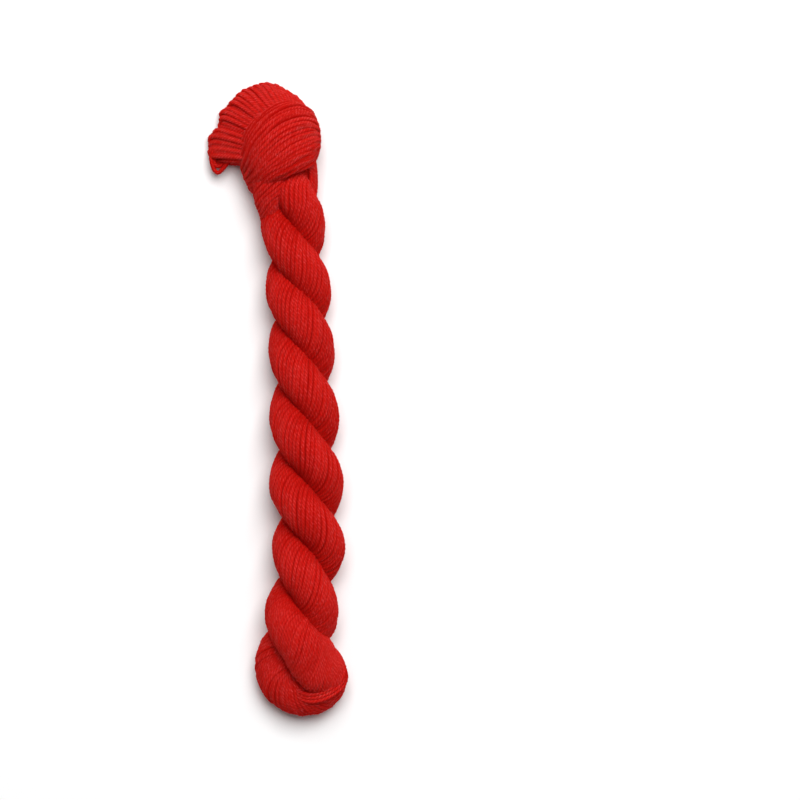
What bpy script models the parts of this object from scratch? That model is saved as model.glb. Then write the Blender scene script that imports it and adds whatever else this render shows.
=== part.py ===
"""A small hank of sock yarn, twisted, folded in half and plied on itself, with one end's
loops drawn through the other end's to hold the twist. One solid of its outer form.

X runs across, Y along the hank towards the knot, Z up from the surface that it lies on.
"""

import math

import bmesh
import bpy
from mathutils import Matrix, Vector

MM = 0.001
CENTRE = (0.107, -0.182)  # mm, what brings the finished solid's box over the origin
REST_DEPTH = 0.45  # mm that the lowest turns are pressed flat on the surface
RING_SIDES = 28
STEP = 2.4  # mm between two rings of a bundle
VOXEL = 0.62  # mm
KEPT_SHARE = 0.085  # of the voxel skin's triangles
YARN_RED = (0.52, 0.012, 0.012, 1.0)

# The rope's axis and girth. y: along the hank. x: sideways lean of the axis. arm: the axis to
# the middle of either ply. flat and wide: a ply's half size towards the axis and across it.
ROPE = [
    # y, x, arm, flat, wide
    (66.0, 4.6, 4.6, 4.9, 5.7),
    (50.0, 4.7, 4.7, 5.0, 5.9),
    (34.0, 6.4, 4.8, 5.0, 6.1),
    (17.0, 7.2, 4.9, 5.1, 6.1),
    (0.0, 7.9, 5.1, 5.2, 6.2),
    (-12.0, 8.5, 5.4, 5.5, 6.3),
    (-24.0, 8.7, 5.7, 5.6, 6.3),
    (-42.0, 9.7, 5.5, 5.5, 6.2),
    (-54.0, 8.8, 5.3, 5.5, 6.3),
    (-62.0, 7.2, 5.4, 5.6, 6.5),
    (-74.0, 6.6, 5.4, 5.5, 7.2),
]
# Where a ply lies on top, by turns: the first ply at whole numbers, the other at halves.
CROSSINGS = [
    # y, turn
    (81.0, 0.5),
    (62.0, 0.0),
    (42.0, -0.5),
    (24.2, -1.0),
    (5.0, -1.5),
    (-15.2, -2.0),
    (-35.3, -2.5),
    (-54.2, -3.0),
    (-73.7, -3.5),
]
# The fold at the foot, from the first ply's end at the back, by the left, to the other's.
FOLD = [
    # x, y, z, flat, wide
    (6.2, -70.8, 4.9, 5.5, 6.2),
    (1.0, -74.2, 6.2, 5.8, 6.0),
    (-0.6, -79.8, 7.6, 6.2, 5.6),
    (1.2, -85.2, 8.8, 6.5, 5.5),
    (5.6, -88.6, 9.6, 6.6, 5.5),
    (10.6, -88.6, 9.4, 6.5, 5.4),
    (14.5, -85.8, 7.8, 6.0, 5.3),
    (15.4, -81.8, 8.6, 5.5, 5.8),
    (13.2, -78.4, 11.6, 5.6, 7.2),
]
# The neck of the first ply, up to where its loops fan out.
NECK = [
    # x, y, z, flat, wide
    (0.6, 80.0, 10.2, 4.6, 6.6),
    (1.6, 73.0, 11.2, 4.8, 6.2),
    (3.6, 67.0, 12.6, 4.8, 5.8),
]
# The root of the other ply's loops, behind the neck.
ROOT = [
    # x, y, z, flat, wide
    (2.2, 58.5, 4.9, 4.6, 5.8),
    (2.8, 64.0, 4.6, 4.0, 7.0),
    (3.8, 69.0, 4.6, 3.2, 7.6),
]
# The collar that the other ply's loops make round the neck, from the root by the left.
# up_x, up_y: the way its width runs.
COLLAR = [
    # x, y, z, up_x, up_y, flat, wide
    (-3.2, 63.6, 4.2, -0.30, 0.95, 2.6, 5.0),
    (-8.0, 66.4, 8.8, -0.42, 0.91, 2.6, 5.2),
    (-7.3, 70.6, 13.6, -0.45, 0.89, 2.9, 7.8),
    (-3.4, 74.0, 16.2, -0.43, 0.90, 3.2, 9.9),
    (2.0, 77.3, 17.0, -0.34, 0.94, 3.3, 10.5),
    (7.2, 79.6, 15.3, -0.24, 0.97, 3.1, 9.8),
    (10.3, 78.6, 10.0, -0.06, 1.00, 2.7, 7.4),
    (8.6, 74.4, 4.2, 0.10, 0.99, 2.6, 6.4),
    (2.6, 68.6, 3.1, 0.00, 1.00, 2.8, 6.6),
]
# A few of those loops that come up steeper, below the collar.
UNDER_COLLAR = [
    # x, y, z, flat, wide
    (-1.8, 54.5, 7.4, 3.1, 3.8),
    (-4.0, 59.2, 9.2, 2.8, 3.7),
    (-2.4, 62.6, 12.0, 2.8, 3.8),
    (1.4, 65.6, 14.2, 2.6, 3.6),
    (6.0, 69.0, 14.8, 2.2, 3.0),
]
# The rest of them, back down the knot's right side to the root.
RIGHT_LEG = [
    # x, y, z, flat, wide
    (9.0, 74.5, 10.5, 3.0, 4.6),
    (9.9, 70.0, 9.4, 2.9, 4.4),
    (9.7, 65.5, 8.2, 2.9, 4.2),
    (8.2, 61.0, 6.8, 3.0, 4.0),
    (5.4, 56.5, 5.4, 3.2, 4.0),
]
# The fan's rim round the point where its loops part.
FAN_MIDDLE = (0.0, 77.0)  # mm
FAN_RIM = [
    # degrees, reach
    (0.0, 9.0),
    (20.0, 10.0),
    (40.0, 12.5),
    (55.0, 14.3),
    (67.0, 15.6),
    (82.0, 16.7),
    (101.0, 18.5),
    (116.0, 18.8),
    (138.0, 19.2),
    (151.0, 19.5),
    (163.0, 19.1),
    (179.0, 20.4),
    (190.0, 21.1),
    (199.0, 18.0),
    (203.0, 15.3),
    (208.0, 13.4),
    (218.0, 10.8),
    (240.0, 9.0),
    (360.0, 9.0),
]
FAN_EDGE = 2.9  # mm, half the fan's thickness by its rim
FAN_HUB = 5.4  # mm, and by its middle
FAN_HEIGHT = 8.2  # mm, its middle layer
FAN_DROOP = 5.0  # mm that its rim lies lower
# A loop that hangs out of the fan's left end.
LOOSE_LOOP = [
    # x, y, z, flat, wide
    (-12.0, 72.0, 6.2, 1.1, 1.4),
    (-15.0, 69.7, 5.6, 1.0, 1.3),
    (-17.8, 68.3, 5.0, 0.95, 1.2),
    (-19.5, 70.4, 4.9, 1.0, 1.3),
    (-18.9, 74.4, 5.0, 1.2, 1.5),
]


def clear_scene():
    for thing in list(bpy.data.objects):
        bpy.data.objects.remove(thing, do_unlink=True)


def between(rows, at):
    """The table's other columns at this value of its first, by straight lines."""
    ordered = sorted(rows)
    if at <= ordered[0][0]:
        return ordered[0][1:]
    for low, high in zip(ordered, ordered[1:]):
        if at <= high[0]:
            share = (at - low[0]) / (high[0] - low[0])
            return tuple(a + (b - a) * share for a, b in zip(low[1:], high[1:]))
    return ordered[-1][1:]


def eased(rows, at, reach=5.0):
    """The same, averaged over a short stretch, which takes out the corners."""
    spots = [between(rows, at + reach * shift) for shift in (-1.0, -0.5, 0.0, 0.5, 1.0)]
    return tuple(sum(column) / len(spots) for column in zip(*spots))


def smooth_row(rows, place):
    """All columns at this place along the rows, on a curve through them."""
    last = len(rows) - 1
    index = min(int(place), last - 1)
    share = place - index
    before = rows[max(index - 1, 0)]
    after = rows[min(index + 2, last)]
    found = []
    for a, b, c, d in zip(before, rows[index], rows[index + 1], after):
        bend = 2 * a - 5 * b + 4 * c - d
        swing = 3 * b - a - 3 * c + d
        found.append(b + 0.5 * share * (c - a + share * (bend + share * swing)))
    return found


def ply_station(y, offset):
    """Middle, outward way and half sizes of a ply at this height of the rope."""
    x, arm, flat, wide = eased(ROPE, y)
    (turn,) = between(CROSSINGS, y)
    angle = 2 * math.pi * (turn + offset) + math.pi / 2
    outward = Vector((math.cos(angle), 0.0, math.sin(angle)))
    middle = Vector((x, y, arm + flat)) + arm * outward
    return middle, outward, flat, wide


def ply(top, bottom, offset):
    count = round((top - bottom) / 1.8)
    return [ply_station(top + (bottom - top) * i / count, offset) for i in range(count + 1)]


def outward_from(rows, hub):
    return [
        (Vector(row[:3]), Vector(row[:3]) - Vector(hub), row[3], row[4]) for row in rows
    ]


def even_steps(stations, closed=False):
    """The stations as a curve, cut to rings that lie one step apart."""
    rows = [(*middle, *outward.normalized(), a, b) for middle, outward, a, b in stations]
    if closed:
        rows = rows[-2:] + rows + rows[:3]
    fine = [smooth_row(rows, i / 8) for i in range(8 * (len(rows) - 1) + 1)]
    if closed:
        fine = fine[16 : -16]
    walked = [0.0]
    for a, b in zip(fine, fine[1:]):
        walked.append(walked[-1] + (Vector(b[:3]) - Vector(a[:3])).length)
    count = max(round(walked[-1] / STEP), 2)
    lengths = [(walked[i], *fine[i]) for i in range(len(fine))]
    rings = [between(lengths, walked[-1] * i / count) for i in range(count + 1)]
    return rings[:-1] if closed else rings


def ring_matrices(rings, closed=False):
    """Where each ring goes: its X along the wide half size, its Y along the flat one."""
    found = []
    last = len(rings) - 1
    for i, row in enumerate(rings):
        ahead = rings[(i + 1) % len(rings)] if closed else rings[min(i + 1, last)]
        behind = rings[i - 1] if closed else rings[max(i - 1, 0)]
        along = (Vector(ahead[:3]) - Vector(behind[:3])).normalized()
        outward = Vector(row[3:6])
        outward = (outward - along * outward.dot(along)).normalized()
        across = outward.cross(along)
        turned = Matrix((across, outward, -across.cross(outward))).transposed()
        sized = Matrix.Diagonal((row[7], row[6], 1.0))
        found.append(Matrix.Translation(Vector(row[:3])) @ (turned @ sized).to_4x4())
    return found


def add_bundle(bm, stations, closed=False):
    """A bundle of yarn: rings drawn along its stations and closed at both ends."""
    matrices = ring_matrices(even_steps(stations, closed), closed)
    first = bmesh.ops.create_circle(
        bm, segments=RING_SIDES, radius=1.0, cap_ends=False, matrix=matrices[0]
    )
    ring = first["verts"]
    edges = list({edge for vert in ring for edge in vert.link_edges})
    start = list(edges)
    for old, new in zip(matrices, matrices[1:]):
        made = bmesh.ops.extrude_edge_only(bm, edges=edges)["geom"]
        ring = [item for item in made if isinstance(item, bmesh.types.BMVert)]
        edges = [
            item
            for item in made
            if isinstance(item, bmesh.types.BMEdge) and len(item.link_faces) == 1
        ]
        bmesh.ops.transform(bm, matrix=new @ old.inverted(), verts=ring)
    if closed:
        bmesh.ops.bridge_loops(bm, edges=start + edges)
    else:
        bmesh.ops.holes_fill(bm, edges=start + edges, sides=RING_SIDES)


def add_fan(bm):
    """The fan: a ball pressed flat, drawn out to the rim's reach all round."""
    made = bmesh.ops.create_icosphere(bm, subdivisions=5, radius=1.0)
    for vert in made["verts"]:
        x, y, z = vert.co
        angle = math.degrees(math.atan2(y, x)) % 360.0
        (reach,) = between(FAN_RIM, angle)
        out = min(math.hypot(x, y), 1.0)
        spread = out**0.75
        half = FAN_HUB + (FAN_EDGE - FAN_HUB) * spread**1.4
        lift = math.copysign(abs(z) ** 0.7, z) * half
        way = math.atan2(y, x)
        vert.co = Vector(
            (
                FAN_MIDDLE[0] + reach * spread * math.cos(way),
                FAN_MIDDLE[1] + reach * spread * math.sin(way),
                FAN_HEIGHT - FAN_DROOP * spread**2 + lift,
            )
        )


def hank_stations():
    """The whole bundle, from the neck by the first ply, the fold and the other ply."""
    neck = outward_from(NECK, (1.0, 76.0, 0.0))
    first = ply(60.0, -67.0, 0.0)
    fold = outward_from(FOLD, (7.0, -80.0, 9.0))
    other = ply(60.0, -73.0, 0.5)[::-1]
    root = outward_from(ROOT[1:], (2.0, 64.0, 12.0))
    return neck + first + fold + other[:-2] + root


def collar_stations():
    """The collar's rings, whose flat side faces away from the neck."""
    found = []
    for x, y, z, up_x, up_y, flat, wide in COLLAR:
        middle = Vector((x, y, z))
        up = Vector((up_x, up_y, 0.0)).normalized()
        away = middle - Vector((1.5, y, 10.0))
        away -= up * away.dot(up)
        found.append((middle, away, flat, wide))
    return found


def add_box(name, low, high):
    bpy.ops.mesh.primitive_cube_add(size=1.0)
    box = bpy.context.active_object
    box.name = name
    box.location = [(a + b) / 2 for a, b in zip(low, high)]
    box.scale = [b - a for a, b in zip(low, high)]
    box.hide_render = True
    box.display_type = "WIRE"
    return box


def yarn_material():
    material = bpy.data.materials.new("red_sock_yarn")
    material.use_nodes = True
    shader = material.node_tree.nodes["Principled BSDF"]
    shader.inputs["Base Color"].default_value = YARN_RED
    shader.inputs["Roughness"].default_value = 0.9
    return material


def build_hank():
    bm = bmesh.new()
    add_bundle(bm, hank_stations())
    add_bundle(bm, collar_stations(), closed=True)
    add_bundle(bm, outward_from(UNDER_COLLAR, (3.0, 60.0, 6.0)))
    add_bundle(bm, outward_from(RIGHT_LEG, (4.0, 66.0, 8.0)))
    add_bundle(bm, outward_from(LOOSE_LOOP, (-16.5, 71.5, 0.0)))
    add_fan(bm)
    bmesh.ops.recalc_face_normals(bm, faces=bm.faces)
    shift = Vector((-CENTRE[0], -CENTRE[1], -REST_DEPTH))
    bmesh.ops.translate(bm, verts=bm.verts, vec=shift)
    bmesh.ops.scale(bm, verts=bm.verts, vec=(MM, MM, MM))
    mesh = bpy.data.meshes.new("hank")
    bm.to_mesh(mesh)
    bm.free()
    hank = bpy.data.objects.new("hank", mesh)
    bpy.context.scene.collection.objects.link(hank)
    hank.data.materials.append(yarn_material())
    return hank


def finish_hank(hank):
    """One skin over all bundles, thinned, and pressed flat where it lies."""
    skin = hank.modifiers.new("one skin", "REMESH")
    skin.mode = "VOXEL"
    skin.voxel_size = VOXEL * MM
    skin.use_smooth_shade = True
    soft = hank.modifiers.new("settle", "SMOOTH")
    soft.factor = 0.4
    soft.iterations = 2
    thin = hank.modifiers.new("thin", "DECIMATE")
    thin.ratio = KEPT_SHARE
    below = add_box("surface", (-0.1, -0.2, -0.05), (0.1, 0.2, 0.0))
    press = hank.modifiers.new("rest", "BOOLEAN")
    press.operation = "DIFFERENCE"
    press.solver = "EXACT"
    press.object = below


def main():
    clear_scene()
    finish_hank(build_hank())


main()
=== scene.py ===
"""The looks of a small hank of sock yarn: every turn that shows, laid as plied yarn.

The hank is a loop of yarn that was twisted, folded in half and plied on itself. The loops of
one end are drawn through those of the other end, and spread above it as a fan. X runs across,
Y along the hank towards the knot, Z up from the surface that it lies on. Tables and sizes
are in millimetres, and a piece's mesh is in metres.
"""

import sys

import logging
import math
from collections.abc import Sequence
from dataclasses import dataclass
from enum import Enum

import bmesh
import bpy
import numpy as np
from mathutils import Matrix, Vector


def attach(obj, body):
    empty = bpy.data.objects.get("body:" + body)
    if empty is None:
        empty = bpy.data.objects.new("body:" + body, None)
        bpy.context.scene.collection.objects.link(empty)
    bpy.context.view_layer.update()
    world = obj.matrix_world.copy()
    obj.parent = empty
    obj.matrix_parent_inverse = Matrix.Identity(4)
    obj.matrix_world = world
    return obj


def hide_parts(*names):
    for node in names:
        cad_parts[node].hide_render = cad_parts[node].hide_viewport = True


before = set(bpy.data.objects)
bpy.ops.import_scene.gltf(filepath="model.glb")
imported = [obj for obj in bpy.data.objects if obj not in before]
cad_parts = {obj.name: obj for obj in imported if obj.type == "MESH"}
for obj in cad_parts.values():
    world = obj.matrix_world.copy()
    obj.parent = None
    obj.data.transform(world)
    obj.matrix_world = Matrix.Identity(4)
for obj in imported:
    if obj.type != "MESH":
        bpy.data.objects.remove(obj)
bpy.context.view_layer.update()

MM = 0.001
CENTRE = (0.107, -0.182)  # mm, what brings the hank's box over the origin
REST_DEPTH = 0.45  # mm that the hank settles, as its lowest turns are pressed flat
REST_EASE = 0.35  # mm over which they are pressed
YARN_RADIUS = 0.90
YARN_PITCH = 5.6  # of its own twist
YARN_PLIES = 5
PER_GAP = 8  # points of a smooth line from one row of its table to the next
SECTION_STEPS = 96  # round a bundle's section
log = logging.getLogger("hank")

# The rope's axis and girth. y: along the hank. x: sideways lean of the axis. arm: the axis to
# the middle of either ply. flat and wide: a ply's half size towards the axis and across it.
ROPE = [
    # y, x, arm, flat, wide
    (-74.0, 7.3, 4.8, 6.1, 6.7),
    (-62.0, 7.2, 4.8, 6.2, 6.5),
    (-54.0, 8.8, 4.7, 6.1, 6.3),
    (-42.0, 9.7, 4.9, 6.1, 6.2),
    (-24.0, 8.7, 5.1, 6.2, 6.3),
    (-12.0, 8.5, 4.8, 6.1, 6.3),
    (0.0, 7.9, 4.5, 5.8, 6.2),
    (17.0, 7.2, 4.3, 5.7, 6.1),
    (34.0, 6.4, 4.2, 5.6, 6.1),
    (50.0, 4.7, 4.1, 5.6, 5.9),
    (66.0, 4.6, 4.1, 5.4, 5.7),
]
# What fills the rope's middle, down to the fold. A table's hub is what its bundle's outward
# side faces away from.
CORE = [
    # x, y, z, flat, wide
    (4.6, 62.0, 9.6, 3.6, 3.6),
    (5.6, 42.0, 9.8, 4.2, 4.2),
    (7.2, 17.0, 10.0, 4.3, 4.3),
    (8.5, -12.0, 10.9, 4.5, 4.5),
    (9.7, -42.0, 11.0, 4.5, 4.5),
    (7.6, -60.0, 11.0, 4.5, 4.5),
    (6.8, -70.0, 10.6, 5.0, 5.4),
    (6.9, -78.0, 9.8, 5.4, 6.0),
    (7.0, -83.0, 9.2, 4.6, 5.0),
]
CORE_HUB = (8.0, 0.0, -90.0)
# Where a ply lies on top, by turns: the first ply at whole numbers, the other at halves.
CROSSINGS = [
    # y, turn
    (-73.7, -3.5),
    (-54.2, -3.0),
    (-35.3, -2.5),
    (-15.2, -2.0),
    (5.0, -1.5),
    (24.2, -1.0),
    (42.0, -0.5),
    (62.0, 0.0),
    (81.0, 0.5),
]
# The fold at the foot, from the first ply's end at the back, by the left, to the other's.
FOLD = [
    # x, y, z, flat, wide
    (6.2, -70.8, 4.9, 5.6, 6.2),
    (1.6, -74.4, 6.2, 6.4, 6.2),
    (0.4, -79.8, 6.4, 7.3, 6.0),
    (1.9, -84.6, 6.7, 7.5, 5.9),
    (6.2, -87.6, 6.9, 7.5, 5.9),
    (10.6, -87.9, 6.8, 7.2, 5.9),
    (14.3, -85.8, 6.6, 6.3, 5.9),
    (15.3, -82.8, 7.8, 5.5, 6.7),
    (12.5, -80.2, 11.1, 5.6, 8.6),
]
FOLD_HUB = (7.0, -80.0, 8.0)
# A few turns that come round the foot's right edge and pass under the last crossing.
FOOT_BAND = [
    # x, y, z
    (15.0, -73.5, 5.0),
    (18.6, -77.8, 7.0),
    (20.0, -81.2, 9.0),
    (19.2, -84.0, 10.7),
    (16.9, -86.2, 12.0),
    (13.0, -88.1, 12.9),
    (9.2, -88.6, 12.7),
    (5.6, -87.0, 11.5),
    (3.6, -84.4, 9.6),
]
FOOT_BAND_STEP = (0.25, -1.0, -0.22)  # mm from one of them to the next
# The neck of the first ply, up to where its loops fan out.
NECK = [
    # x, y, z, flat, wide
    (0.6, 80.0, 10.2, 4.6, 6.6),
    (1.4, 73.0, 10.4, 4.8, 6.2),
    (2.9, 67.4, 10.2, 4.6, 5.8),
]
NECK_HUB = (1.0, 76.0, 0.0)
# The root of the other ply's loops, behind the neck.
ROOT = [
    # x, y, z, flat, wide
    (2.8, 64.0, 4.6, 4.0, 7.0),
    (3.8, 69.0, 4.6, 3.2, 7.6),
]
ROOT_HUB = (2.0, 64.0, 12.0)
# The collar that the other ply's loops make round the neck, from the root by the left.
# up: the way its width runs.
COLLAR = [
    # x, y, z, up_x, up_y, up_z, flat, wide
    (-3.4, 64.8, 4.0, -0.38, 0.92, 0.0, 2.6, 5.4),
    (-7.9, 67.4, 8.2, -0.44, 0.90, -0.05, 2.6, 6.2),
    (-6.4, 69.9, 13.0, -0.45, 0.89, -0.15, 3.0, 7.9),
    (-2.9, 73.8, 15.1, -0.43, 0.90, -0.22, 3.7, 10.2),
    (2.0, 77.4, 15.4, -0.34, 0.94, -0.29, 4.2, 11.0),
    (7.2, 79.8, 13.1, -0.24, 0.97, -0.35, 3.8, 10.2),
    (10.3, 79.8, 9.4, -0.10, 1.00, -0.20, 2.8, 7.4),
    (8.4, 75.6, 4.2, 0.05, 0.99, 0.0, 2.6, 6.4),
    (2.4, 69.6, 3.1, -0.10, 0.99, 0.0, 2.8, 6.6),
]
# A few of those loops that come up steeper, below the collar.
UNDER_COLLAR = [
    # x, y, z, flat, wide
    (-1.0, 52.0, 6.6, 3.4, 3.4),
    (-1.6, 56.3, 9.6, 3.8, 4.1),
    (-2.2, 60.5, 12.0, 4.0, 5.0),
    (-1.6, 64.5, 13.3, 4.0, 5.8),
    (-0.8, 68.5, 13.3, 3.6, 6.0),
]
UNDER_COLLAR_HUB = (0.0, 60.0, -4.0)
# The rest of them, back down the knot's right side to the root.
RIGHT_LEG = [
    # x, y, z, flat, wide
    (7.6, 74.5, 8.0, 3.2, 6.0),
    (8.3, 70.0, 7.4, 3.4, 5.8),
    (8.6, 65.5, 6.8, 3.5, 5.3),
    (8.2, 61.0, 6.0, 3.5, 4.8),
    (6.4, 56.5, 5.6, 3.4, 4.2),
]
RIGHT_LEG_HUB = (4.0, 66.0, 8.0)
# The fan's rim round the point where its loops part.
FAN_MIDDLE = (0.0, 77.0)
FAN_AIM = (12.0, 69.5)  # what its loops point at
FAN_RIM = [
    # degrees, reach
    (0.0, 9.0),
    (20.0, 10.0),
    (40.0, 12.5),
    (55.0, 14.3),
    (67.0, 15.6),
    (82.0, 16.7),
    (101.0, 19.1),
    (116.0, 19.3),
    (138.0, 19.5),
    (151.0, 19.9),
    (163.0, 19.4),
    (179.0, 21.2),
    (190.0, 21.7),
    (199.0, 18.2),
    (203.0, 15.3),
    (208.0, 13.4),
    (218.0, 10.8),
    (240.0, 9.0),
    (360.0, 9.0),
]
# A single turn that hangs out of the fan's left end, and those that lie inside and beneath it.
LOOSE_TURN = [
    # x, y, z
    (-11.6, 74.4, 6.6),
    (-14.1, 72.0, 6.2),
    (-15.5, 70.3, 5.8),
    (-16.7, 68.9, 5.3),
    (-17.9, 68.0, 5.0),
    (-18.9, 68.7, 4.9),
    (-19.5, 70.2, 4.9),
    (-20.0, 72.3, 5.0),
    (-19.2, 74.6, 5.4),
    (-15.5, 76.2, 6.4),
]
TURN_INSIDE = [
    # x, y, z
    (-12.5, 74.4, 5.4),
    (-15.2, 72.3, 5.0),
    (-16.9, 70.4, 4.7),
    (-18.0, 69.9, 4.6),
    (-18.8, 70.5, 4.6),
    (-19.0, 72.4, 4.7),
    (-17.5, 74.8, 5.2),
]
TURN_BENEATH = [
    # x, y, z
    (-12.5, 74.6, 4.2),
    (-15.4, 73.0, 3.8),
    (-17.0, 71.7, 3.4),
    (-17.8, 71.5, 3.3),
    (-18.2, 72.6, 3.4),
    (-17.4, 74.8, 3.9),
]
# What fills the hollow of the hanging turns, where the fan's edge turns under.
UNDER_LOOSE = [
    # x, y, z, flat, wide
    (-12.0, 75.0, 4.4, 2.4, 3.4),
    (-15.0, 73.2, 3.9, 2.4, 3.3),
    (-17.2, 71.7, 3.4, 2.2, 3.0),
    (-18.3, 70.8, 3.1, 1.9, 2.4),
]
UNDER_LOOSE_HUB = (-14.0, 73.0, -20.0)

# Waves for the small drift of hand-wound turns, as wander takes them: along a bundle, and
# round a closed one. The divisors, here and below, keep a sum of waves to about -1 to 1.
DRIFT = [(1 / size, size / 1.88) for size in (1.0, 0.57, 0.31)]
DRIFT_ROUND = [(1, 0.5), (2, 0.35), (3, 0.25), (5, 0.15)]
# Waves as wander_shared takes them: the drift of neighbours, and the collar's bunches.
SHARED_DRIFT = [(n, n / 2, size / 2.15) for n, size in ((2, 1.0), (3, 0.7), (5, 0.45))]
BUNCHES = [(n, 1, size / 2.1) for n, size in ((6, 1.0), (9, 0.7), (13, 0.4))]


class Handedness(Enum):
    """Which way yarn is plied, as the sign of its turn along the yarn."""

    S_PLIED = -1.0
    Z_PLIED = 1.0


def read_row(rows: Sequence[Sequence[float]], at: np.ndarray) -> np.ndarray:
    """Reads a table between its rows.

    Args:
        rows: The table, sorted by its first column.
        at: The values of the first column to read at.

    Returns:
        The other columns, one row for each value.
    """
    table = np.asarray(rows, float)
    columns = [np.interp(at, table[:, 0], table[:, i]) for i in range(1, table.shape[1])]
    return np.stack(columns, axis=-1)


def read_eased(rows: Sequence[Sequence[float]], at: np.ndarray, reach: float = 5.0) -> np.ndarray:
    """Reads a table as read_row does, averaged over a short stretch either side."""
    shifts = (-1.0, -0.5, 0.0, 0.5, 1.0)
    return np.mean([read_row(rows, at + reach * shift) for shift in shifts], axis=0)


def smooth_rows(rows: np.ndarray, per_gap: int = PER_GAP) -> np.ndarray:
    """Draws a smooth curve through all columns of a table, whose first three are a place.

    Args:
        rows: The table.
        per_gap: How many steps to take from one row to the next.

    Returns:
        The finer table.
    """
    rows = np.asarray(rows, float)
    walked = lengths_along(rows)
    gaps = np.diff(walked)[:, None]
    slopes = np.diff(rows, axis=0) / gaps
    bends = (slopes[:-1] * gaps[1:] + slopes[1:] * gaps[:-1]) / (gaps[:-1] + gaps[1:])
    bends = np.vstack([slopes[:1], bends, slopes[-1:]])
    share = (np.arange(per_gap) / per_gap)[None, :, None]
    reach = gaps[:, None, :]
    fine = (
        (2 * share**3 - 3 * share**2 + 1) * rows[:-1, None, :]
        + (share**3 - 2 * share**2 + share) * reach * bends[:-1, None, :]
        + (3 * share**2 - 2 * share**3) * rows[1:, None, :]
        + (share**3 - share**2) * reach * bends[1:, None, :]
    )
    return np.vstack([fine.reshape(-1, rows.shape[1]), rows[-1:]])


def lengths_along(points: np.ndarray) -> np.ndarray:
    """How far along the line each of its points lies."""
    steps = np.linalg.norm(np.diff(points[:, :3], axis=0), axis=1)
    return np.concatenate([[0.0], np.cumsum(steps)])


def even_rows(rows: np.ndarray, step: float) -> np.ndarray:
    """Cuts a fine table, whose first three columns are a place, to even rows.

    Args:
        rows: The table.
        step: About how far apart its rows are to lie.

    Returns:
        The even table.
    """
    walked = lengths_along(rows)
    count = max(round(walked[-1] / step), 2)
    at = np.linspace(0.0, walked[-1], count + 1)
    return np.stack([np.interp(at, walked, column) for column in rows.T], axis=-1)


def unit(vectors: np.ndarray) -> np.ndarray:
    """The vectors at length 1."""
    return vectors / np.linalg.norm(vectors, axis=-1, keepdims=True)


def wander(
    rng: np.random.Generator, at: np.ndarray, waves: Sequence[tuple], count: int
) -> np.ndarray:
    """Sums slow waves, each turn's on its own.

    Args:
        rng: The source of the waves' starts.
        at: Places along the turns.
        waves: Each wave's rounds in a unit of at, and its size.
        count: How many turns.

    Returns:
        A row for each place and a column for each turn, from about -1 to 1.
    """
    total = np.zeros((len(at), count))
    for rounds, size in waves:
        starts = rng.random(count)[None, :]
        total += size * np.sin(2 * math.pi * (rounds * at[:, None] + starts))
    return total


def wander_shared(
    rng: np.random.Generator, at: np.ndarray, waves: Sequence[tuple], count: int
) -> np.ndarray:
    """Sums slow waves in which neighbouring turns move together.

    Args:
        rng: The source of the waves' starts.
        at: Places along the turns.
        waves: Each wave's rounds over all the turns, those in a unit of at, and its size.
        count: How many turns.

    Returns:
        The waves, as wander returns them.
    """
    order = np.arange(count)[None, :] / count
    total = np.zeros((len(at), count))
    for over, rounds, size in waves:
        start, way = rng.random(), rng.choice([-1, 1])
        phase = over * order + way * rounds * at[:, None] + start
        total += size * np.sin(2 * math.pi * phase)
    return total


def rows_from_hub(rows: Sequence[Sequence[float]], hub: Sequence[float]) -> np.ndarray:
    """Stations whose outward way points from a hub, from rows of x, y, z, flat and wide."""
    table = np.asarray(rows, float)
    return np.column_stack([table[:, :3], table[:, :3] - np.asarray(hub), table[:, 3:]])


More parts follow.
